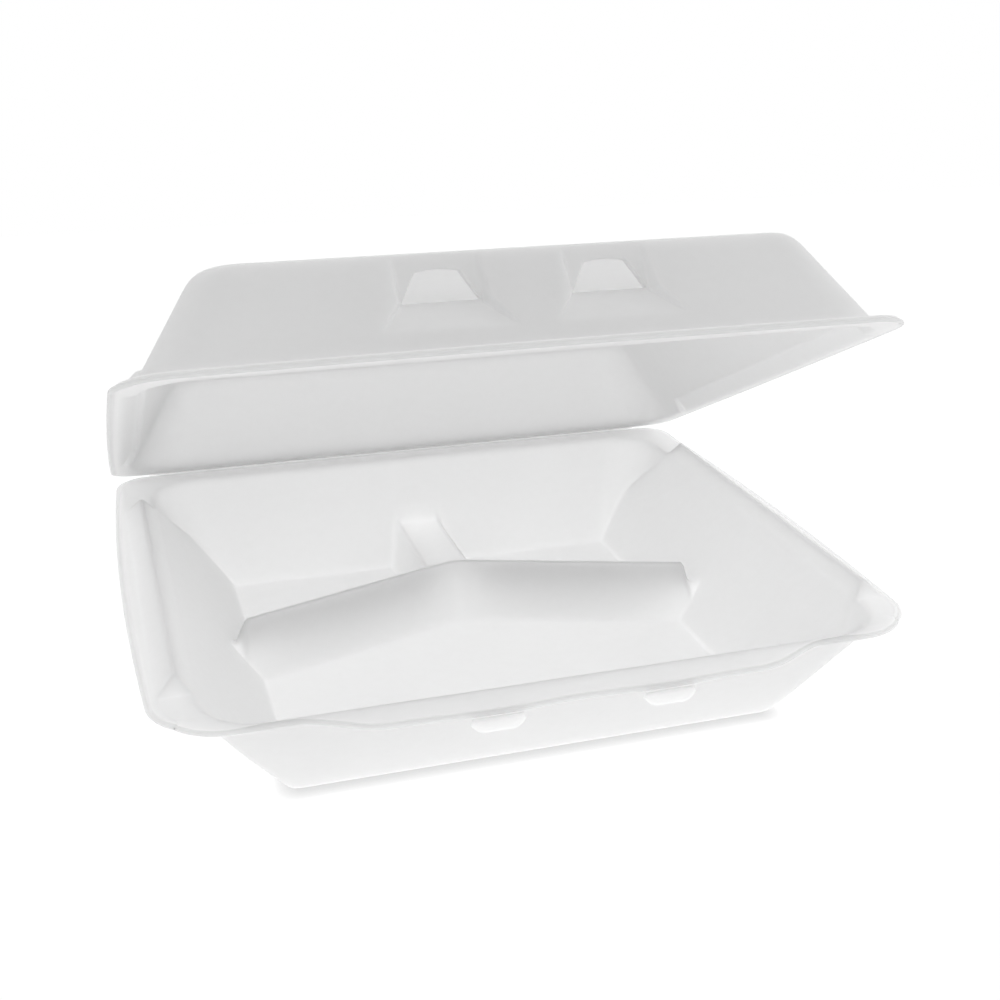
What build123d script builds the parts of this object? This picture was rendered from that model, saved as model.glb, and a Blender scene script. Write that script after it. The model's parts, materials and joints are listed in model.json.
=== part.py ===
"""Foam clamshell container: a formed tray with three wells and a hinged lid with two latch slots.

Millimetres, +Z up, the hinge at the back (+Y), the latch lip at the front (-Y).
The origin is the centre of the tray's underside. The lid is modelled shut and then turned open.
"""
from build123d import *
import math
import os

# Foam sheet and clearances
sheet = 2.4
shut_gap = 0.3
hinge_fit = 0.08
overrun = 0.4

# Tray flange outline and hinge
flange_half_width = 133.4
flange_depth = 234.0
side_bow = 4.2
front_bow = 4.8
front_corner = 21.0
rear_corner = 13.0
hinge_bead = 0.7
hinge_margin = 1.0

# Tray well: flange widths from its rim outwards, and the level run of its leaning walls
tray_height = 43.0
side_flange = 18.0
front_flange = 5.0
back_flange = 10.0
side_run = 23.4
front_run = 28.0
back_run = 28.0
rim_corner = 19.5
floor_corner = 9.0
floor_round = 4.5

# Side ribs on the tray flange, which the lid's channels cover
rib_clear = 0.5
rib_width = 11.1
rib_rise_run = 4.4
rib_crest_flat = 1.0
rib_height = 5.8
rib_front_gap = 28.0
rib_back_gap = 40.5
rib_end_run = 3.5

# Divider: two arms that meet in a chevron, low saddles at their ends, and a stem to the back wall
divider_height = 24.3
arm_apex = 28.0
arm_sweep = 30.0
arm_end_gap = 4.0
arm_crest_half = 1.6
arm_foot_half = 8.6
arm_end_run = 5.5
arm_overlap = 6.0
arm_round = 1.1
saddle_height = 15.5
saddle_crest_half = 2.2
stem_height = 18.5
stem_crest_half = 9.6
stem_foot_half = 14.2
stem_overlap = 2.0
stem_round = 2.6

# Front lip with its two latch tabs
lip_half_width = 64.0
lip_root_half_width = 80.0
lip_reach = 9.2
lip_waist = 1.2
tab_spacing = 56.6
tab_root_width = 20.0
tab_end_width = 15.0
tab_length = 5.8
tab_corner = 4.2
tab_droop = 70.0

# Lid: flange outline, flange widths from its walls outwards, and the level run of its leaning walls
lid_half_width = 132.4
lid_side_bow = 1.2
lid_front_bow = 3.6
lid_front_corner = 18.0
lid_rear_corner = 13.0
lid_height = 37.8
lid_side_flange = 6.6
lid_front_flange = 6.6
lid_back_flange = 7.0
lid_side_run = 23.2
lid_front_run = 16.8
lid_back_run = 17.0
lid_rim_corner = 22.0
lid_top_corner = 12.0
lid_top_round = 4.5
lid_open = 26.0

# Latch notches and slots in the lid's front wall; levels count from the lid's flange face
notch_top_half = 14.2
notch_valley_half = 14.1
notch_foot_half = 22.2
notch_valley_level = 20.1
notch_foot_level = 9.6
notch_depth = 5.5
slot_foot_width = 25.8
slot_head_width = 14.8
slot_height = 9.9
slot_arch = 1.0
slot_sill = 0.5

hinge_y = flange_depth / 2
front_y = -flange_depth / 2
hinge_z = tray_height + shut_gap / 2
hinge_half_length = flange_half_width - side_bow - rear_corner - hinge_margin
rim_half_width = flange_half_width - side_flange
rim_front = front_y + front_flange
rim_back = hinge_y - back_flange
floor_half_width = rim_half_width - side_run
floor_front = rim_front + front_run
floor_back = rim_back - back_run
lid_face = tray_height + shut_gap
lid_wall_front = front_y + lid_front_flange


def lean(run, rise):
    """Angle from upright of a wall that runs out by run over rise."""
    return math.atan2(run, rise)


def level_shift(skin, angle):
    """Level distance between the two faces of a leaning sheet of thickness skin."""
    return skin / math.cos(angle)


def foot_shift(skin, angle):
    """Level distance between the two corner lines where a leaning sheet turns into a flat one."""
    return level_shift(skin, angle) - skin * math.tan(angle)


def rounded_plate(half_width, front, back, radius, level):
    """Rounded rectangle lying at a level."""
    middle = (front + back) / 2
    return Pos(0, middle, level) * RectangleRounded(half_width * 2, back - front, radius)


def tapered_block(low, high):
    """Solid between two level plates with matching edges: flat walls, and ruled corners between arcs."""
    walls = []
    for foot, head in zip(low.edges(), high.edges()):
        if foot.geom_type == GeomType.LINE:
            walls.append(Face(Wire.make_polygon([foot @ 0, foot @ 1, head @ 1, head @ 0])))
        else:
            walls.append(Face.make_surface_from_curves(foot, head))
    return Solid(Shell([low.face(), high.face(), *walls]))


def flange_outline(half_width, bow, nose_bow, nose_corner, tail_corner):
    """Flange in plan: bowed sides and front, a straight back edge on the hinge line, rounded corners."""
    half = half_width - bow
    shoulder = front_y + nose_bow
    back = Line((half, hinge_y), (-half, hinge_y))
    left = ThreePointArc((-half, hinge_y), (-half_width, 0), (-half, shoulder))
    nose = ThreePointArc((-half, shoulder), (0, front_y), (half, shoulder))
    right = ThreePointArc((half, shoulder), (half_width, 0), (half, hinge_y))
    outline = make_face([back, left, nose, right])
    outline = fillet(outline.vertices().group_by(Axis.Y)[0], nose_corner)
    return fillet(outline.vertices().group_by(Axis.Y)[-1], tail_corner)


def tray_well(skin):
    """Tapered well of the tray's inside, grown by skin on its walls and floor."""
    rise = tray_height - sheet
    side = lean(side_run, rise)
    front = lean(front_run, rise)
    back = lean(back_run, rise)
    floor = rounded_plate(
        floor_half_width + foot_shift(skin, side),
        floor_front - foot_shift(skin, front),
        floor_back + foot_shift(skin, back),
        floor_corner + foot_shift(skin, side),
        sheet - skin,
    )
    rim = rounded_plate(
        rim_half_width + level_shift(skin, side),
        rim_front - level_shift(skin, front),
        rim_back + level_shift(skin, back),
        rim_corner + level_shift(skin, side),
        tray_height,
    )
    well = tapered_block(floor, rim)
    return fillet(well.edges().group_by(Axis.Z)[0], floor_round)


def rib_roof(skin, low):
    """Hip-roofed side rib; skin above zero shrinks it to the hollow under a sheet, below zero grows it.

    The roof runs from a foot at level low, counted from the tray's flange face, up to a narrow crest.
    """
    inner_x = rim_half_width + rib_clear
    outer_x = inner_x + rib_width
    inner = lean(rib_rise_run, rib_height)
    outer = lean(rib_width - rib_rise_run - rib_crest_flat, rib_height)
    end = lean(rib_end_run, rib_height)
    squeeze = level_shift(skin, inner) + level_shift(skin, outer)
    high = rib_height - squeeze / (math.tan(inner) + math.tan(outer))

    def roof_plate(level):
        x_in = inner_x + level * math.tan(inner) + level_shift(skin, inner)
        x_out = outer_x - level * math.tan(outer) - level_shift(skin, outer)
        y_front = front_y + rib_front_gap + level * math.tan(end) + level_shift(skin, end)
        y_back = hinge_y - rib_back_gap - level * math.tan(end) - level_shift(skin, end)
        centre = Pos((x_in + x_out) / 2, (y_front + y_back) / 2, tray_height + level)
        return centre * Rectangle(x_out - x_in, y_back - y_front)

    return tapered_block(roof_plate(low), roof_plate(high))


def rib_pair(skin, low):
    """The rib on the right and its mirror image on the left."""
    right = rib_roof(skin, low)
    return right + mirror(right, Plane.YZ)


def ridge(start, length, crest_half, foot_half, height, end_run, crest_round, skin, low):
    """Straight ridge along +X: a tapered section, upright at its start, sloped at its far end.

    Skin above zero shrinks it to the groove under a sheet of that thickness.
    """
    rise = height - sheet
    side = lean(foot_half - crest_half, rise)
    end = lean(end_run, rise)
    pinch = (level_shift(skin, side) - crest_half / 2) / math.tan(side)
    high = height - max(skin, pinch) if skin > 0 else height

    def section(level):
        down = height - level
        half = crest_half + down * math.tan(side) - level_shift(skin, side)
        far = length + down * math.tan(end) - level_shift(skin, end)
        return Pos((start + far) / 2, 0, level) * Rectangle(far - start, half * 2)

    body = tapered_block(section(low), section(high))
    if skin > 0:
        return body
    crest = body.edges().group_by(Axis.Z)[-1]
    return fillet(crest.filter_by(Axis.X), crest_round)


def divider(skin, low):
    """Y-shaped divider: two chevron arms with low saddles out to the side walls, and a stem to the back."""
    reach = floor_half_width - arm_end_gap
    arm_length = math.hypot(reach, arm_sweep)
    turn = math.degrees(math.atan2(arm_sweep, reach))
    saddle_length = arm_length + rim_half_width - reach
    arm = ridge(
        -arm_overlap, arm_length, arm_crest_half, arm_foot_half,
        divider_height, arm_end_run, arm_round, skin, low,
    )
    saddle = ridge(
        0, saddle_length, saddle_crest_half, arm_foot_half,
        saddle_height, 0, arm_round, skin, low,
    )
    right = Pos(0, arm_apex) * Rot(0, 0, -turn) * (arm + saddle)
    right = split(right, Plane.YZ, keep=Keep.TOP)
    stem = ridge(
        -stem_overlap, rim_back - arm_apex, stem_crest_half, stem_foot_half,
        stem_height, 0, stem_round, skin, low,
    )
    back = Pos(0, arm_apex) * Rot(0, 0, 90) * stem
    return right + mirror(right, Plane.YZ) + back


def lip_outline():
    """Front lip in plan: S-shaped ends and a front edge with a lobe over each latch tab."""
    reach = front_y - lip_reach
    shoulder = front_y + front_bow
    swing = (lip_root_half_width - lip_half_width) / 2
    lobe = tab_spacing / 2
    edge = Spline(
        (-lip_half_width, reach + lip_waist / 2),
        (-lobe, reach),
        (0, reach + lip_waist),
        (lobe, reach),
        (lip_half_width, reach + lip_waist / 2),
    )
    start = edge @ 0
    left_end = Bezier(
        (-lip_root_half_width, shoulder),
        (-lip_half_width - swing, front_y),
        (-lip_half_width - swing, start.Y),
        start,
    )
    right_end = mirror(left_end, Plane.YZ)
    root = Line((lip_root_half_width, shoulder), (-lip_root_half_width, shoulder))
    return make_face([edge, left_end, right_end, root])


def latch_tab(side):
    """Rounded tapering tab that hangs from the lip's front edge."""
    root = tab_root_width / 2
    end = tab_end_width / 2
    shape = make_face(Polyline((-root, 0), (root, 0), (end, -tab_length), (-end, -tab_length), close=True))
    shape = fillet(shape.vertices().group_by(Axis.Y)[0], tab_corner)
    plate = extrude(shape, -sheet)
    place = Pos(side * tab_spacing / 2, front_y - lip_reach + lip_waist / 2, tray_height)
    return place * Rot(tab_droop, 0, 0) * plate


def hinge_bar(radius):
    """Round bar along the hinge line."""
    return Pos(0, hinge_y, hinge_z) * Rot(0, 90, 0) * Cylinder(radius, hinge_half_length * 2)


def flange_plate(outline, level):
    """Flange sheet with its underside at a level, cut back from the hinge line by half the shut gap."""
    plate = Pos(0, 0, level) * extrude(outline, sheet)
    trim = Pos(0, hinge_y, level) * Box(flange_half_width * 2, shut_gap, sheet * 3)
    return plate - trim


def build_tray():
    """Tray: well walls and floor, flange with ribs and lip, hollow divider, and the hinge bead."""
    shell = tray_well(sheet)
    outline = flange_outline(flange_half_width, side_bow, front_bow, front_corner, rear_corner)
    shell += flange_plate(outline + lip_outline(), tray_height - sheet)
    shell += rib_pair(0, -sheet / 2)
    shell += latch_tab(-1)
    shell += latch_tab(1)
    shell -= tray_well(0) - divider(0, 0)
    shell -= divider(sheet, -overrun)
    shell -= rib_pair(sheet, -sheet - overrun)
    return shell + hinge_bar(hinge_bead)


def lid_wall_y(level):
    """Outside of the lid's front wall at a level above its flange face."""
    return lid_wall_front + lid_front_run * level / lid_height


def lid_dome(skin):
    """Tapered dome of the lid's outside, shrunk by skin on its walls and top."""
    half_width = lid_half_width - lid_side_flange
    wall_back = hinge_y - lid_back_flange
    side = lean(lid_side_run, lid_height)
    front = lean(lid_front_run, lid_height)
    back = lean(lid_back_run, lid_height)
    rim = rounded_plate(
        half_width - level_shift(skin, side),
        lid_wall_front + level_shift(skin, front),
        wall_back - level_shift(skin, back),
        lid_rim_corner - level_shift(skin, side),
        lid_face,
    )
    top = rounded_plate(
        half_width - lid_side_run - foot_shift(skin, side),
        lid_wall_front + lid_front_run + foot_shift(skin, front),
        wall_back - lid_back_run - foot_shift(skin, back),
        lid_top_corner - foot_shift(skin, side),
        lid_face + lid_height - skin,
    )
    dome = tapered_block(rim, top)
    return fillet(dome.edges().group_by(Axis.Z)[-1], lid_top_round - skin / 2)


def notch(centre, skin):
    """Latch notch in the lid's front wall: an upright back wall over a sloping shelf, grown by skin."""
    valley_y = lid_wall_y(notch_valley_level) + notch_depth + skin
    top_y = lid_wall_y(lid_height) + skin
    foot_y = lid_wall_y(notch_foot_level) + skin

    def step(half, back_y, level):
        front_edge = lid_wall_y(level) - notch_depth
        middle = (front_edge + back_y) / 2
        place = Pos(centre, middle, lid_face + level)
        return place * Rectangle((half + skin) * 2, back_y - front_edge)

    foot = step(notch_foot_half, foot_y, notch_foot_level)
    valley = step(notch_valley_half, valley_y, notch_valley_level)
    top = step(notch_top_half, top_y, lid_height + overrun)
    return tapered_block(foot, valley) + tapered_block(valley, top)


def latch_slot(centre):
    """Slot through a notch's back wall: a tapered opening with an arched head."""
    foot = slot_foot_width / 2
    head = slot_head_width / 2
    low = notch_valley_level + slot_sill
    high = low + slot_height
    sill = Line((-foot, low), (foot, low))
    right = Line((foot, low), (head, high))
    arch = ThreePointArc((head, high), (0, high + slot_arch), (-head, high))
    left = Line((-head, high), (-foot, low))
    shape = make_face([sill, right, arch, left])
    start = lid_wall_y(notch_valley_level)
    through = notch_depth + sheet * 4
    return Pos(centre, start, lid_face) * Rot(90, 0, 0) * extrude(shape, -through)


def build_lid():
    """Lid: domed walls and top, flange with channels over the tray's ribs, two notches with slots."""
    shell = lid_dome(0)
    outline = flange_outline(lid_half_width, lid_side_bow, lid_front_bow, lid_front_corner, lid_rear_corner)
    shell += flange_plate(outline, lid_face)
    shell += rib_pair(-shut_gap - sheet, shut_gap)
    hollow = lid_dome(sheet)
    for side in (-1, 1):
        centre = side * tab_spacing / 2
        shell -= notch(centre, 0)
        hollow -= notch(centre, sheet)
    shell -= hollow
    shell -= rib_pair(-shut_gap, -overrun)
    for side in (-1, 1):
        shell -= latch_slot(side * tab_spacing / 2)
    shell -= hinge_bar(hinge_bead + hinge_fit)
    return shell.rotate(Axis((0, hinge_y, hinge_z), (1, 0, 0)), -lid_open)


os.makedirs("parts", exist_ok=True)
export_step(build_tray(), "parts/base_tray.step")
export_step(build_lid(), "parts/lid.step")
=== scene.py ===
import json
import math
import bpy
import numpy as np
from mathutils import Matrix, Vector


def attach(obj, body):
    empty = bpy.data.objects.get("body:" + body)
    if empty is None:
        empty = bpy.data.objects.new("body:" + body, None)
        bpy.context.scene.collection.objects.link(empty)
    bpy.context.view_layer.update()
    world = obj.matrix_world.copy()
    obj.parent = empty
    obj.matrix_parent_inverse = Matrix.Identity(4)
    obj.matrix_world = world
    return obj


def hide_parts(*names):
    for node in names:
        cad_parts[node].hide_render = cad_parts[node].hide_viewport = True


# Foam clamshell container: the tray and the lid as pressed foam sheets with soft creases.
# Sizes of the container are in millimetres, as in the part's own source; meshes are written in metres.

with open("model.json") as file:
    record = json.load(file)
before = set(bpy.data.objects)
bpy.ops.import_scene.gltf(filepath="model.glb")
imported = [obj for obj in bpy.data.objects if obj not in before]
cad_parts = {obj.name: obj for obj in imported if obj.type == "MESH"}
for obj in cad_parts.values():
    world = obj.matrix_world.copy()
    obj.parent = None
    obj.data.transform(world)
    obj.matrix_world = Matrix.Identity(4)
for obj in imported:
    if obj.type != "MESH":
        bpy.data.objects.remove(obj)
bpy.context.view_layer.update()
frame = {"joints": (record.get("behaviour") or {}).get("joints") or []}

metre = 0.001
tiny = 1e-9
hinge = frame["joints"][0]
hinge_y, hinge_z = (place / metre for place in hinge["pos_m"][1:])

# Foam sheet, with an edge that is pressed thinner over a narrow strip and rounded; that strip also carries
# painted shade
sheet = 2.4
shut_gap = 0.3
edge_round = 1.1
edge_thin = 0.9
edge_turns = np.radians([60, 30, 0, -30, -60])
press_side = 2.5
press_front = 1.0
press_back = 2.0

# Leaning walls: range and number of halvings in the search for a point's share of the way up
wall_range = (-0.7, 1.7)
wall_halvings = 24

# Flange outlines: half width, side bow, front bow, front corner, rear corner
front_y = -hinge_y
flange_half_width = 133.39
tray_flange = (flange_half_width, 4.2, 4.8, 21.0, 13.0)
lid_flange = (132.4, 1.2, 3.6, 18.0, 13.0)
# Grid lines in front of this place are drawn out to the front edge
draw_front = -105.0

# Outer band of the tray's flange: it droops from a crease, begins beside the lip and fades out
# near the hinge
band_line = 127.2
band_front = 111.5
band_depth = 1.1
band_blend = 0.12
band_start = (86.0, 108.0)
band_fade = (96.0, 112.0)

# Tray well: outlines are half width, front, back, corner radius
tray_height = 43.0
floor_outline = (92.0, -84.0, 79.0, 9.0)
rim_outline = (115.4, -112.0, 107.0, 19.5)
floor_blend = 3.2
rim_blend = 2.0

# Side ribs
rib_inner = 115.9
rib_outer = 127.0
rib_rise_run = 4.4
rib_fall_run = 5.7
rib_end_run = 3.5
rib_height = 5.8
rib_front = -89.0
rib_back = 76.5
rib_blend = 0.7

# Hinge web
hinge_round = 0.68
hinge_inset = 1.0
hinge_rings = 60
hinge_sides = 24
hinge_end_thin = 0.96
hinge_end_power = 20

# Divider; the saddles and the stem run on into the walls, so their own ends are steep and hidden
arm_apex = 28.0
arm_reach = 88.0
arm_sweep = 30.0
arm_bend_round = 3.0
divider_height = 24.3
arm_crest_half = 1.6
arm_foot_half = 8.6
arm_end_run = 5.5
saddle_height = 15.5
saddle_crest_half = 2.2
stem_height = 18.5
stem_crest_half = 9.6
stem_foot_half = 14.2
stem_overlap = 2.0
stem_front_slope = 6.0
hidden_end_run = 1.0
crest_blend = 3.6
foot_blend = 5.5
# Share of the sheet's thickness that is left under the divider, and share of that which rounds
# the hollow's crest
divider_draw = 0.36
hollow_round = 0.25
# Plan ranges in front of and behind the divider over which the grid's lines bend to follow its arms
lean_front = (-80.0, arm_apex - 12.0)
lean_back = (arm_apex + 14.0, 78.0)

# Front lip and latch tabs
lip_inner = 60.0
lip_outer = 90.0
lip_reach = 9.2
lip_waist = 1.2
lip_droop = 0.6
tab_spacing = 56.6
tab_root_half = 8.0
tab_end_half = 6.6
tab_length = 2.6
tab_corner = 2.5
tab_corner_share = 0.985
tab_sheet = 1.5
tab_dish = 0.5
tab_dish_start = -0.5
tab_gap = 0.3
tab_columns = 25
tab_droop = math.radians(70)

# Lid; the inner face steps in from the outer one over these runs beside its top
lid_face = tray_height + shut_gap
lid_height = 37.8
lid_rim_outline = (125.8, -110.4, 110.0, 22.0)
lid_top_outline = (102.6, -93.6, 93.0, 12.0)
lid_top_blend = 5.6
lid_foot_blend = 1.8
lid_open = math.radians(26)
inner_run_side = 20.0
inner_run_end = 17.0

# Latch notches and slots; levels count from the lid's flange face
notch_top_half = 14.2
notch_valley_half = 14.1
notch_foot_half = 22.2
notch_valley_level = 20.1
notch_foot_level = 9.6
notch_depth = 5.5
notch_edge = 0.9
notch_valley_blend = 0.5
notch_foot_blend = 0.3
slot_foot_half = 12.9
slot_head_half = 7.4
slot_sill = 20.6
slot_head = 30.5
slot_arch = 1.0
slot_arch_reach = 2.0
# Grid lines for the sides of slots and notches before they slant, the reach of the close lines
# beside a notch, and where on the lid's top all lines are straight again
slot_column = 11.0
notch_column = 17.0
notch_line_span = 3.0
notch_fade = (2.0, 18.0)

# Look of the foam; lengths are in metres from here on
foam_roughness = 0.5
foam_specular = 0.25
foam_scatter = 0.014
foam_tones = (0.975, 0.988)
# Painted shade: grey mixed into the foam's colour along the pressed edge strip and over the hinge web
edge_shade_tone = 0.62
mottle_scale = 260
mottle_detail = 3
mottle_range = (0.3, 0.7)
cell_scale = 700
cell_detail = 2
cell_strength = 0.12
cell_depth = 0.0003

# Table: paint and glow that light the container, and paint and lift that are seen, with less lift
# in the crevice below the container, a painted shadow
table_reach = 1.0
table_drop = 0.0002
table_paint = 0.9
table_glow = 0.5
seen_paint = 0.15
crevice_samples = 4
crevice_reach = 0.005
crevice_lift = (0.55, 0.92)

# Room light and lamps: name, place, width, height, watts
room_level = 0.48
lamp_aim = (0, 0, 0.05)
softboxes = (
    ("back_softbox", (0, 1.2, 1.35), 2.6, 1.3, 9),
    ("right_softbox", (1.5, 0, 0.6), 1.2, 1.0, 3.5),
    ("front_softbox", (0.3, -1.5, 0.9), 1.6, 1.0, 2.5),
)

# Camera; lens and sensor are in millimetres
camera_place = (-0.13669, -0.47671, 0.25242)
camera_aim = (0.01814, 0.02239, 0.05111)
camera_lens = 49.619
camera_sensor = 36
camera_near = 0.01


def soft_max(a, b, blend):
    """The larger of two heights; while they are less than blend apart, a parabola rounds the valley."""
    share = np.clip(0.5 + (a - b) / (2 * blend), 0, 1)
    return b + (a - b) * share + blend * share * (1 - share)


def soft_min(a, b, blend):
    """The smaller of two heights, with the crest between them rounded in the same way."""
    return -soft_max(-a, -b, blend)


def ramp(low, high, value):
    """Cubic step: 0 up to low, 1 from high on, level at both ends."""
    share = np.clip((value - low) / (high - low), 0, 1)
    return share * share * (3 - 2 * share)


def grown(outline, by):
    """A rounded outline moved outwards by the same distance on every side."""
    half, front, back, radius = outline
    return half + by, front - by, back + by, radius + by


def wall_share(x, y, inner, outer):
    """How far out a point lies between two rounded outlines: 0 on the inner one, 1 on the outer one.

    Each size of the outline runs straight from inner to outer, and halving the range finds the outline
    that passes through the point.
    """
    low = np.full(np.shape(x), wall_range[0])
    high = np.full(np.shape(x), wall_range[1])
    for _ in range(wall_halvings):
        share = (low + high) / 2
        half, front, back, radius = (p + (q - p) * share for p, q in zip(inner, outer))
        over_x = np.abs(x) - half + radius
        over_y = np.abs(y - (front + back) / 2) - (back - front) / 2 + radius
        corner = np.hypot(np.maximum(over_x, 0), np.maximum(over_y, 0))
        outside = corner + np.minimum(np.maximum(over_x, over_y), 0) > radius
        low = np.where(outside, share, low)
        high = np.where(outside, high, share)
    return (low + high) / 2


def level_shift(skin, run, rise):
    """Level distance between the faces of a leaning sheet of that thickness."""
    return skin * math.hypot(run, rise) / rise


def rib_form(x, y, skin):
    """Hip roof over each side of the flange: the lowest of four slopes and a narrow crest, edges rounded.

    Skin above zero shrinks the roof to the hollow under a sheet, and below zero grows it.
    """
    run = np.abs(x)
    rise_shift = level_shift(skin, rib_rise_run, rib_height)
    fall_shift = level_shift(skin, rib_fall_run, rib_height)
    end_shift = level_shift(skin, rib_end_run, rib_height)
    inner = (run - rib_inner - rise_shift) * rib_height / rib_rise_run
    outer = (rib_outer - fall_shift - run) * rib_height / rib_fall_run
    front = (y - rib_front - end_shift) * rib_height / rib_end_run
    back = (rib_back - end_shift - y) * rib_height / rib_end_run
    roof = soft_min(soft_min(inner, outer, rib_blend), soft_min(front, back, rib_blend), rib_blend)
    return tray_height + soft_min(roof, rib_height - skin, rib_blend)


def ridge_form(along, off, length, crest_half, foot_half, height, end_run, skin):
    """Ridge with a flat crest, straight flanks and a sloping far end, its crest edges rounded."""
    slope = (height - sheet) / (foot_half - crest_half)
    off = np.sqrt(off * off + (skin * hollow_round) ** 2)
    flank = height - (off - crest_half + level_shift(skin, 1, slope)) * slope
    top = soft_min(flank, height - skin, crest_blend)
    end = height - (along - length + skin) * (height - sheet) / end_run
    return soft_min(top, end, crest_blend)


def divider_form(x, y, skin):
    """Y-shaped divider: two arms swept forward from the apex, low saddles beyond them, a stem behind."""
    turn = math.atan2(arm_sweep, arm_reach)
    length = math.hypot(arm_sweep, arm_reach)
    run = np.sqrt(x * x + arm_bend_round * arm_bend_round) - arm_bend_round / 2
    along = run * math.cos(turn) - (y - arm_apex) * math.sin(turn)
    off = run * math.sin(turn) + (y - arm_apex) * math.cos(turn)
    arm = ridge_form(
        along, off, length, arm_crest_half, arm_foot_half, divider_height, arm_end_run, skin
    )
    saddle = ridge_form(
        along, off, length * 2, saddle_crest_half, arm_foot_half, saddle_height, hidden_end_run, skin
    )
    stem = ridge_form(
        y, x, hinge_y, stem_crest_half, stem_foot_half, stem_height, hidden_end_run, skin
    )
    stem_front = stem_height + (y - arm_apex + stem_overlap) * stem_front_slope
    stem = soft_min(stem, stem_front, crest_blend)
    return soft_max(soft_max(arm, saddle, foot_blend), stem, foot_blend)


def tray_form(x, y, skin):
    """Height of the tray's upper face, or of its lower face where skin is the sheet's thickness.

    The floor, the leaning walls, the divider, the flange and the ribs are joined by rounded valleys
    and crests. The sheet is thinner where it is drawn up into the divider.
    """
    run = rim_outline[0] - floor_outline[0]
    rise = tray_height - sheet
    shift = level_shift(skin, run, rise)
    floor = sheet - skin
    inner = grown(floor_outline, shift - skin * run / rise)
    share = wall_share(x, y, inner, grown(rim_outline, shift))
    wall = floor + (tray_height - floor) * share
    height = soft_max(wall, floor, floor_blend)
    height = soft_max(height, divider_form(x, y, skin * divider_draw), foot_blend)
    height = soft_min(height, tray_height - skin, rim_blend)
    height = soft_max(height, rib_form(x, y, skin), rib_blend)
    return height - lip_droop * ramp(-front_y, -front_y + lip_reach, -y)


def lid_form(x, y, skin):
    """Height of the shut lid's outer face, or of its inner face where skin is the sheet's thickness."""
    run = lid_rim_outline[0] - lid_top_outline[0]
    shift = level_shift(skin, run, lid_height)
    inner = grown(lid_top_outline, skin * run / lid_height - shift)
    share = wall_share(x, y, inner, grown(lid_rim_outline, -shift))
    wall = lid_face + (lid_height - skin) * (1 - share)
    height = soft_min(wall, lid_face + lid_height - skin, lid_top_blend)
    height = soft_max(height, lid_face + sheet - skin, lid_foot_blend)
    return soft_max(height, rib_form(x, y, skin - sheet - shut_gap), rib_blend)


def graded(stops):
    """Line places from stop to stop, each stop being (place, spacing).

    The spacing grows evenly between stops, or stays the same where two stops give the same.
    """
    places = [np.array([stops[0][0]])]
    for (start, fine), (end, coarse) in zip(stops, stops[1:]):
        growth = coarse / fine
        flat = abs(growth - 1) < tiny
        spacing = fine if flat else (coarse - fine) / math.log(growth)
        count = max(1, round((end - start) / spacing))
        step = np.arange(1, count + 1) / count
        share = step if flat else (growth**step - 1) / (growth - 1)
        places.append(start + (end - start) * share)
    return np.concatenate(places)


def both_sides(half_lines):
    """Lines from zero outwards, and the same lines on the other side."""
    return np.concatenate([-half_lines[:0:-1], half_lines])


def front_edge(x, flange, lip):
    """Front edge in plan: a bowed line, and where lip is 1, a long tongue with a lobe over each tab."""
    half, side_bow, front_bow = flange[:3]
    edge = front_y + front_bow * (x / (half - side_bow)) ** 2
    tongue = front_y - lip_reach + lip_waist / 2 * (1 + np.cos(2 * math.pi * x / tab_spacing))
    share = 1 - ramp(lip_inner, lip_outer, np.abs(x))
    return edge + (tongue - edge) * share * lip


def flange_plan(x, y, flange, lip):
    """Draws a rectangular grid into a flange's outline, less the rounding of the sheet's edge.

    The outermost lines move to the bowed sides, the front edge and the hinge line, and each corner
    square is squeezed to a quarter circle: a point keeps its direction from the corner's centre and
    takes its larger share as its distance. Lip is 1 where the front edge has a lip, and 0 elsewhere.
    """
    half, side_bow, _, front_corner, rear_corner = flange
    side = half - side_bow * (y / hinge_y) ** 2 - edge_round
    front = front_edge(x, flange, lip) + edge_round
    back = hinge_y - shut_gap / 2 - edge_round
    outwards = np.clip((np.abs(x) - rib_outer) / (flange_half_width - rib_outer), 0, 1)
    forwards = np.clip((y - draw_front) / (front_y - draw_front), 0, 1)
    backwards = np.clip((y - rim_outline[2]) / (hinge_y - rim_outline[2]), 0, 1)
    run = np.abs(x) + (side - flange_half_width) * outwards
    y = y + (front - front_y) * forwards + (back - hinge_y) * backwards
    for radius, edge, way in ((front_corner, front, -1), (rear_corner, back, 1)):
        radius = radius - edge_round
        centre_x = half - side_bow - edge_round - radius
        centre_y = edge - way * radius
        a = np.clip((run - centre_x) / (side - centre_x), 0, None)
        b = np.clip((y - centre_y) / (edge - centre_y), 0, None)
        squeeze = np.where((a > 0) & (b > 0), np.maximum(a, b) / np.hypot(a + tiny, b), 1)
        run = np.where(a > 0, centre_x + (run - centre_x) * squeeze, run)
        y = np.where(b > 0, centre_y + (y - centre_y) * squeeze, y)
    return np.sign(x) * run, y


def edge_share(x, y):
    """How near a grid point is to the sheet's edge: 0 until a little inside it, 1 on the last lines."""
    side = ramp(flange_half_width - press_side, flange_half_width, np.abs(x))
    front = ramp(-front_y - press_front, -front_y, -y)
    back = ramp(hinge_y - press_back, hinge_y, y)
    return np.maximum(np.maximum(side, front), back)


def band_drop(x, y):
    """Droop of the flange's outer band: even slopes from a crease to the edge, sides and front corners."""
    side = (np.abs(x) - band_line) / (flange_half_width - band_line)
    front = (1 + (-y - band_front) / (-front_y - band_front)) * ramp(*band_start, np.abs(x)) - 1
    slope = soft_max(np.maximum(side, front), np.zeros_like(x), band_blend)
    return band_depth * slope * (1 - ramp(*band_fade, y))


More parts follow.
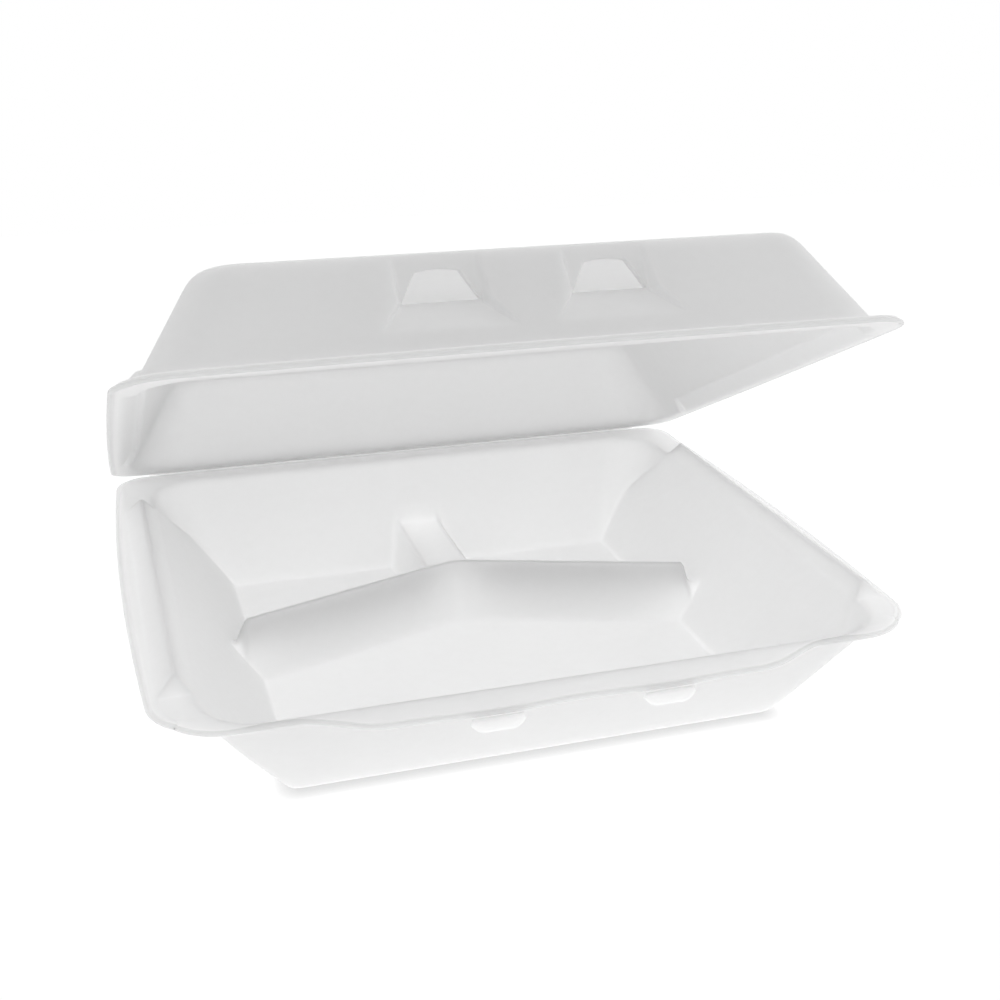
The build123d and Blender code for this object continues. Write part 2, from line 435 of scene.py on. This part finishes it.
def ring(rows, columns):
    """Row and column numbers round a block of grid cells, counter-clockwise from above."""
    low, high = rows
    left, right = columns
    across = np.arange(left, right)
    up = np.arange(low, high)
    ring_rows = [np.full(across.size, low), up, np.full(across.size, high), up[::-1] + 1]
    ring_columns = [across, np.full(up.size, right), across[::-1] + 1, np.full(up.size, left)]
    return np.concatenate(ring_rows), np.concatenate(ring_columns)


def closed_sheet(upper, lower, holes, press_and_shade):
    """Two faces of a sheet on one grid, joined round their edge and round each hole by a rim.

    The outer rim's section is half an ellipse: from the upper face, out by the edge's rounding, to the
    lower. A hole's rim is straight. Returns points, quads and each point's share of painted shade on the
    pressed edge.
    """
    rows, columns = upper.shape[:2]
    index = np.arange(rows * columns).reshape(rows, columns)
    cells = np.ones((rows - 1, columns - 1), bool)
    rings = [(ring((0, rows - 1), (0, columns - 1)), edge_round)]
    for hole_rows, hole_columns in holes:
        cells[slice(*hole_rows), slice(*hole_columns)] = False
        around = ring(hole_rows, hole_columns)
        rings.append(((around[0][::-1], around[1][::-1]), 0.0))
    quads = np.stack([index[:-1, :-1], index[:-1, 1:], index[1:, 1:], index[1:, :-1]], -1)[cells]
    points = [upper.reshape(-1, 3), lower.reshape(-1, 3)]
    faces = [quads, quads[:, ::-1] + rows * columns]
    edge_shade = [press_and_shade.ravel(), press_and_shade.ravel()]
    used = 2 * rows * columns
    for (at_rows, at_columns), reach in rings:
        above = upper[at_rows, at_columns]
        below = lower[at_rows, at_columns]
        heading = np.roll(above, -1, 0) - np.roll(above, 1, 0)
        outward = np.stack([heading[:, 1], -heading[:, 0], 0 * heading[:, 0]], -1)
        outward /= np.linalg.norm(outward, axis=1, keepdims=True) + tiny
        middle = (above + below) / 2
        rim = [
            middle + (above - middle) * math.sin(turn) + outward * reach * math.cos(turn)
            for turn in edge_turns
        ]
        count = len(above)
        strips = [index[at_rows, at_columns]]
        strips += [used + k * count + np.arange(count) for k in range(len(rim))]
        strips.append(index[at_rows, at_columns] + rows * columns)
        points += rim
        edge_shade += [press_and_shade[at_rows, at_columns]] * len(rim)
        used += count * len(rim)
        for high, low in zip(strips, strips[1:]):
            faces.append(np.stack([high, low, np.roll(low, -1), np.roll(high, -1)], -1))
    return np.concatenate(points), np.concatenate(faces), np.concatenate(edge_shade)


def add_piece(name, parts, material, body):
    """One smooth-shaded mesh object from sets of points in millimetres, quads and shares of painted edge
    shade.
    """
    points = np.concatenate([part[0] for part in parts]) * metre
    starts = np.cumsum([0] + [len(part[0]) for part in parts])
    faces = np.concatenate([part[1] + start for part, start in zip(parts, starts)])
    edge_shade = np.concatenate([part[2] for part in parts])
    mesh = bpy.data.meshes.new(name)
    mesh.from_pydata(points.tolist(), [], faces.tolist())
    mesh.polygons.foreach_set("use_smooth", np.ones(len(mesh.polygons), bool))
    press_and_shade = mesh.attributes.new("painted_edge_shade", "FLOAT", "POINT")
    press_and_shade.data.foreach_set("value", edge_shade.astype(np.float32))
    mesh.materials.append(material)
    mesh.update()
    piece = bpy.data.objects.new(name, mesh)
    bpy.context.scene.collection.objects.link(piece)
    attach(piece, body)
    return piece


def latch_tab(side):
    """Tongue that hangs from the lip: a tapering strip with rounded end corners, slightly dished.

    It is built flat, turned down by its droop and set under the lip's edge.
    """
    along = graded(((0.0, 0.6), (tab_length - tab_corner, 0.6), (tab_length, 0.25)))
    across = np.linspace(-1, 1, tab_columns)
    taper = tab_root_half + (tab_end_half - tab_root_half) * along / tab_length
    into_corner = np.clip(along - tab_length + tab_corner, 0, tab_corner)
    half = taper - tab_corner + np.sqrt(tab_corner**2 - into_corner**2 * tab_corner_share)
    x = half[:, None] * across[None, :]
    y = np.broadcast_to(-along[:, None], x.shape)
    z = -tab_dish * (1 - across[None, :] ** 2) * ramp(tab_dish_start, tab_length, along)[:, None]
    upper = np.stack([x, y, z], -1)[::-1]
    lower = upper - np.array([0, 0, tab_sheet])
    points, faces, edge_shade = closed_sheet(upper, lower, [], np.zeros_like(x))
    turned_y = points[:, 1] * math.cos(tab_droop) - points[:, 2] * math.sin(tab_droop)
    turned_z = points[:, 1] * math.sin(tab_droop) + points[:, 2] * math.cos(tab_droop)
    root_y = front_y - lip_reach - tab_gap
    root_z = tray_height - lip_droop - sheet + edge_thin - edge_round
    place = np.array([side * tab_spacing / 2, root_y, root_z])
    return np.stack([points[:, 0], turned_y, turned_z], -1) + place, faces, edge_shade


def build_tray(material):
    """Tray sheet over a grid whose lines crowd at the creases and bend along the divider's arms.

    Half lines run from the middle outwards, and lines from front to back.
    """
    half_lines = graded((
        (0.0, 1.0), (15.0, 1.0), (24.0, 2.4), (78.0, 2.4), (86.0, 1.0), (98.0, 1.0), (108.0, 1.8),
        (113.0, 0.7), (117.0, 0.5), (128.0, 0.6), (flange_half_width, 0.7),
    ))
    lines = graded((
        (front_y, 0.35), (-111.0, 0.5), (-106.0, 1.6), (-95.0, 1.6), (-91.0, 0.7), (-84.0, 0.7),
        (-80.0, 1.0), (-70.0, 3.5), (-10.0, 3.5), (14.0, 0.7), (25.0, 0.55), (31.0, 0.55),
        (42.0, 0.8), (56.0, 3.0), (66.0, 3.0), (71.0, 0.7), (79.0, 0.7), (84.0, 0.8), (88.0, 1.6),
        (102.0, 1.6), (106.0, 0.7), (hinge_y, 0.7),
    ))
    x, y = np.meshgrid(both_sides(half_lines), lines)
    lean = np.sqrt(x * x + arm_bend_round**2) - arm_bend_round
    lean = np.minimum(lean, arm_reach) * arm_sweep / arm_reach
    y = y - lean * ramp(*lean_front, y) * (1 - ramp(*lean_back, y))
    # The edge strip is pressed thinner, and the same share sets the painted shade on it
    press_and_shade = edge_share(x, y)
    thin = edge_thin * press_and_shade
    drop = band_drop(x, y)
    x, y = flange_plan(x, y, tray_flange, 1)
    upper = np.stack([x, y, tray_form(x, y, 0) - drop], -1)
    lower = np.stack([x, y, tray_form(x, y, sheet) - drop + thin], -1)
    parts = [closed_sheet(upper, lower, [], press_and_shade), latch_tab(-1), latch_tab(1)]
    return add_piece("formed_tray", parts, material, "tray")


def lid_level(y):
    """Level on the lid's front wall at a plan place."""
    share = (y - lid_rim_outline[1]) / (lid_top_outline[1] - lid_rim_outline[1])
    return np.clip(share, 0, 1) * lid_height


def lid_line(level):
    """Plan place of a level on the lid's front wall."""
    return lid_rim_outline[1] + (lid_top_outline[1] - lid_rim_outline[1]) * level / lid_height


def notch_half(level):
    """Half width of a notch at a level: flared over the shelf, nearly straight over the upright wall."""
    levels = (notch_foot_level, notch_valley_level, lid_height)
    return np.interp(level, levels, (notch_foot_half, notch_valley_half, notch_top_half))


def notch_columns(x, y):
    """Moves the grid's upright lines onto the slanting sides of each notch and its slot."""
    level = lid_level(y)
    fade_start, fade_end = (lid_top_outline[1] + behind for behind in notch_fade)
    hold = ramp(0, notch_foot_level, level) * (1 - ramp(fade_start, fade_end, y))
    slot = np.interp(level, (slot_sill, slot_head), (slot_foot_half, slot_head_half))
    slot = slot_column + (slot - slot_column) * hold
    flank = notch_column + (notch_half(level) - notch_column) * hold
    centre = np.where(x < 0, -1, 1) * tab_spacing / 2
    off = np.abs(x - centre)
    far = np.where(np.abs(x) < tab_spacing / 2, tab_spacing / 2, tab_spacing / 2 + notch_column)
    inside = off * slot / slot_column
    beside = slot + (off - slot_column) * (flank - slot) / (notch_column - slot_column)
    beyond = flank + (off - notch_column) * (far - flank) / (far - notch_column)
    moved = np.where(off < slot_column, inside, np.where(off < notch_column, beside, beyond))
    moved = np.where(off < far, moved, off)
    near_head = np.exp(-(((level - slot_head) / slot_arch_reach) ** 2))
    arch = np.clip(1 - (moved / slot_head_half) ** 2, 0, 1) * near_head
    rise = slot_arch * arch * (lid_top_outline[1] - lid_rim_outline[1]) / lid_height
    return centre + np.sign(x - centre) * moved, y + rise


def notch_push(x, y, skin):
    """How far a notch sets the front wall back: a shelf running in, then an upright wall running out."""
    level = lid_level(y)
    shelf = notch_depth * (level - notch_foot_level) / (notch_valley_level - notch_foot_level)
    upright = notch_depth * (lid_height - level) / (lid_height - notch_valley_level)
    depth = soft_min(shelf, upright, notch_valley_blend)
    depth = soft_max(depth, np.zeros_like(level), notch_foot_blend)
    off = np.abs(np.abs(x) - tab_spacing / 2) - notch_half(level) - skin
    return depth * (1 - ramp(-notch_edge, notch_edge, off))


def opened(points):
    """Turns points of the shut lid about the hinge line to the open rest position."""
    y = points[..., 1] - hinge_y
    z = points[..., 2] - hinge_z
    turned_y = hinge_y + y * math.cos(lid_open) + z * math.sin(lid_open)
    turned_z = hinge_z - y * math.sin(lid_open) + z * math.cos(lid_open)
    return np.stack([points[..., 0], turned_y, turned_z], -1)


def nearest(lines, place):
    """Number of the grid line nearest to a place."""
    return int(np.argmin(np.abs(lines - place)))


def build_lid(material):
    """Lid sheet: a dome on a grid with lines along the notches' sides, two slots, turned open."""
    near = tab_spacing / 2 - notch_column
    far = tab_spacing / 2 + notch_column
    slot_near = tab_spacing / 2 - slot_column
    slot_far = tab_spacing / 2 + slot_column
    half_lines = graded((
        (0.0, 1.4), (near - notch_line_span, 0.7), (near, 0.45), (near + notch_line_span, 0.7),
        (slot_near, 0.8), (tab_spacing / 2, 1.4), (slot_far, 0.8), (far - notch_line_span, 0.7),
        (far, 0.45), (far + notch_line_span, 0.7), (60.0, 3.0), (94.0, 3.0), (99.0, 1.0),
        (108.0, 1.0), (112.0, 1.2), (116.0, 0.65), (128.0, 0.65), (flange_half_width, 0.8),
    ))
    lines = graded((
        (front_y, 0.5), (lid_line(0), 0.35), (lid_line(notch_foot_level), 0.5),
        (lid_line(notch_valley_level), 0.35), (lid_line(slot_sill), 0.35), (lid_line(slot_head), 0.55),
        (lid_line(lid_height), 0.5), (-93.0, 0.6), (-84.0, 0.9), (-76.0, 3.2), (64.0, 3.2),
        (71.0, 0.7), (79.0, 0.7), (84.0, 1.4), (89.0, 0.9), (96.0, 1.0), (106.0, 1.4), (110.0, 0.6),
        (hinge_y, 0.8),
    ))
    columns = both_sides(half_lines)
    x, y = np.meshgrid(columns, lines)
    wall_x, wall_front, wall_back = lid_rim_outline[:3]
    top_x, top_front, top_back = lid_top_outline[:3]
    walls = (1 - ramp(wall_x, flange_half_width, np.abs(x))) * ramp(front_y, wall_front, y)
    walls = walls * (1 - ramp(wall_back, hinge_y, y))
    step_x = walls * ramp(top_x - inner_run_side, top_x, np.abs(x))
    step_front = walls * (1 - ramp(top_front, top_front + inner_run_end, y))
    step_back = walls * ramp(top_back - inner_run_end, top_back, y)
    # The edge strip is pressed thinner, and the same share sets the painted shade on it
    press_and_shade = edge_share(x, y)
    thin = edge_thin * press_and_shade
    x, y = notch_columns(x, y)
    x, y = flange_plan(x, y, lid_flange, 0)
    upper = np.stack([x, y + notch_push(x, y, 0), lid_form(x, y, 0) - thin], -1)
    shift = level_shift(sheet, wall_x - top_x, lid_height)
    inner_x = x - np.sign(x) * shift * step_x
    inner_y = y + shift * step_front - shift * step_back
    push = notch_push(inner_x, y, sheet)
    lower = np.stack([inner_x, inner_y + push, lid_form(inner_x, inner_y, sheet)], -1)
    slot_rows = tuple(nearest(lines, lid_line(level)) for level in (slot_sill, slot_head))
    holes = []
    for edges in ((-slot_far, -slot_near), (slot_near, slot_far)):
        holes.append((slot_rows, tuple(nearest(columns, edge) for edge in edges)))
    points, faces, edge_shade = closed_sheet(upper, lower, holes, press_and_shade)
    return add_piece("formed_lid", [(opened(points), faces, edge_shade)], material, "lid")


def build_hinge(material):
    """Pressed hinge: a round section about the hinge line, carried along it between the rear corners."""
    reach = tray_flange[0] - tray_flange[1] - tray_flange[4] - hinge_inset
    along = np.linspace(-reach, reach, hinge_rings)
    turns = np.linspace(0, 2 * math.pi, hinge_sides + 1)[:-1]
    taper = hinge_round * np.sqrt(1 - hinge_end_thin * (along / reach) ** hinge_end_power)
    x = np.repeat(along[:, None], turns.size, 1)
    y = hinge_y + taper[:, None] * np.cos(turns)
    z = hinge_z + taper[:, None] * np.sin(turns)
    index = np.arange(x.size).reshape(x.shape)
    beside = np.roll(index, -1, 1)
    quads = np.stack([index[:-1], index[1:], beside[1:], beside[:-1]], -1).reshape(-1, 4)
    points = np.stack([x, y, z], -1).reshape(-1, 3)
    # Painted shade: the whole web takes the full edge shade, giving a dark line along the hinge
    add_piece("hinge_web", [(points, quads, np.ones(x.size))], material, "tray")


def grey(level):
    """Opaque neutral colour."""
    return level, level, level, 1


def foam_material():
    """White foam that lets light through: a fine mottled cell skin, with painted shade greying the pressed
    edge and the hinge web.
    """
    material = bpy.data.materials.new("white_foam")
    material.use_nodes = True
    nodes = material.node_tree.nodes
    links = material.node_tree.links
    shader = nodes["Principled BSDF"]
    shader.inputs["Roughness"].default_value = foam_roughness
    shader.inputs["Specular IOR Level"].default_value = foam_specular
    shader.inputs["Subsurface Weight"].default_value = 1.0
    shader.inputs["Subsurface Radius"].default_value = (1.0, 1.0, 1.0)
    shader.inputs["Subsurface Scale"].default_value = foam_scatter
    place = nodes.new("ShaderNodeTexCoord")
    mottle = nodes.new("ShaderNodeTexNoise")
    mottle.inputs["Scale"].default_value = mottle_scale
    mottle.inputs["Detail"].default_value = mottle_detail
    tone = nodes.new("ShaderNodeValToRGB")
    for stop, position, level in zip(tone.color_ramp.elements, mottle_range, foam_tones):
        stop.position = position
        stop.color = grey(level)
    # Painted shade: this attribute mixes grey into the pressed edge strip and the hinge web
    edge = nodes.new("ShaderNodeAttribute")
    edge.attribute_name = "painted_edge_shade"
    shade = nodes.new("ShaderNodeMixRGB")
    shade.inputs["Color2"].default_value = grey(edge_shade_tone)
    cells = nodes.new("ShaderNodeTexNoise")
    cells.inputs["Scale"].default_value = cell_scale
    cells.inputs["Detail"].default_value = cell_detail
    bump = nodes.new("ShaderNodeBump")
    bump.inputs["Strength"].default_value = cell_strength
    bump.inputs["Distance"].default_value = cell_depth
    links.new(place.outputs["Object"], mottle.inputs["Vector"])
    links.new(place.outputs["Object"], cells.inputs["Vector"])
    links.new(mottle.outputs["Fac"], tone.inputs["Fac"])
    links.new(edge.outputs["Fac"], shade.inputs["Fac"])
    links.new(tone.outputs["Color"], shade.inputs["Color1"])
    links.new(shade.outputs["Color"], shader.inputs["Base Color"])
    links.new(cells.outputs["Fac"], bump.inputs["Height"])
    links.new(bump.outputs["Normal"], shader.inputs["Normal"])
    return material


def seen_rays(nodes, links):
    """Socket that is 1 for rays that meet the white background: camera, glossy and transmission."""
    path = nodes.new("ShaderNodeLightPath")
    seen = path.outputs["Is Camera Ray"]
    for ray in ("Is Glossy Ray", "Is Transmission Ray"):
        either = nodes.new("ShaderNodeMath")
        either.operation = "MAXIMUM"
        links.new(seen, either.inputs[0])
        links.new(path.outputs[ray], either.inputs[1])
        seen = either.outputs["Value"]
    return seen


def build_floor():
    """White table: glows for the container's light, and is seen as white with a painted shadow in the
    crevice.
    """
    material = bpy.data.materials.new("white_table")
    material.use_nodes = True
    nodes = material.node_tree.nodes
    links = material.node_tree.links
    nodes.remove(nodes["Principled BSDF"])
    choice = nodes.new("ShaderNodeMixShader")
    # Painted shadow: ambient occlusion lowers the seen lift in the crevice below the container
    crevice = nodes.new("ShaderNodeAmbientOcclusion")
    crevice.samples = crevice_samples
    crevice.inputs["Distance"].default_value = crevice_reach
    depth = nodes.new("ShaderNodeMapRange")
    depth.inputs["To Min"].default_value = crevice_lift[0]
    depth.inputs["To Max"].default_value = crevice_lift[1]
    lift = nodes.new("ShaderNodeEmission")
    glow = nodes.new("ShaderNodeEmission")
    glow.inputs["Color"].default_value = grey(table_glow)
    links.new(crevice.outputs["AO"], depth.inputs["Value"])
    links.new(depth.outputs["Result"], lift.inputs["Strength"])
    for level, light, socket in ((table_paint, glow, 1), (seen_paint, lift, 2)):
        paint = nodes.new("ShaderNodeBsdfDiffuse")
        paint.inputs["Color"].default_value = grey(level)
        total = nodes.new("ShaderNodeAddShader")
        links.new(paint.outputs["BSDF"], total.inputs[0])
        links.new(light.outputs["Emission"], total.inputs[1])
        links.new(total.outputs["Shader"], choice.inputs[socket])
    links.new(seen_rays(nodes, links), choice.inputs["Fac"])
    links.new(choice.outputs["Shader"], nodes["Material Output"].inputs["Surface"])
    plan = ((-1, -1), (1, -1), (1, 1), (-1, 1))
    corners = [(x * table_reach, y * table_reach, -table_drop) for x, y in plan]
    mesh = bpy.data.meshes.new("table")
    mesh.from_pydata(corners, [], [(0, 1, 2, 3)])
    mesh.materials.append(material)
    floor = bpy.data.objects.new("table", mesh)
    bpy.context.scene.collection.objects.link(floor)


def add_softbox(name, place, width, height, power):
    """Large rectangular lamp that faces the container."""
    lamp = bpy.data.lights.new(name, "AREA")
    lamp.shape = "RECTANGLE"
    lamp.size = width
    lamp.size_y = height
    lamp.energy = power
    holder = bpy.data.objects.new(name, lamp)
    holder.location = place
    holder.rotation_euler = (Vector(lamp_aim) - Vector(place)).to_track_quat("-Z", "Y").to_euler()
    bpy.context.scene.collection.objects.link(holder)


def light_studio():
    """White room as seen, a softer light on the container, and softboxes behind, beside and in front."""
    world = bpy.data.worlds.new("white_room")
    bpy.context.scene.world = world
    world.use_nodes = True
    nodes = world.node_tree.nodes
    links = world.node_tree.links
    room = nodes["Background"]
    room.inputs["Color"].default_value = grey(room_level)
    backdrop = nodes.new("ShaderNodeBackground")
    backdrop.inputs["Color"].default_value = grey(1)
    choice = nodes.new("ShaderNodeMixShader")
    links.new(seen_rays(nodes, links), choice.inputs["Fac"])
    links.new(room.outputs["Background"], choice.inputs[1])
    links.new(backdrop.outputs["Background"], choice.inputs[2])
    links.new(choice.outputs["Shader"], nodes["World Output"].inputs["Surface"])
    for softbox in softboxes:
        add_softbox(*softbox)


def place_camera():
    """Camera at the photograph's place: left of the front, looking down at the open container."""
    camera = bpy.data.cameras.new("camera")
    camera.sensor_width = camera_sensor
    camera.lens = camera_lens
    camera.clip_start = camera_near
    holder = bpy.data.objects.new("camera", camera)
    holder.location = camera_place
    heading = Vector(camera_aim) - Vector(camera_place)
    holder.rotation_euler = heading.to_track_quat("-Z", "Y").to_euler()
    bpy.context.scene.collection.objects.link(holder)
    bpy.context.scene.camera = holder


foam = foam_material()
tray = build_tray(foam)
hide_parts("base_tray")
build_hinge(foam)
lid = build_lid(foam)
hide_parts("lid")
build_floor()
light_studio()
place_camera()
bpy.context.scene.view_settings.view_transform = "Standard"
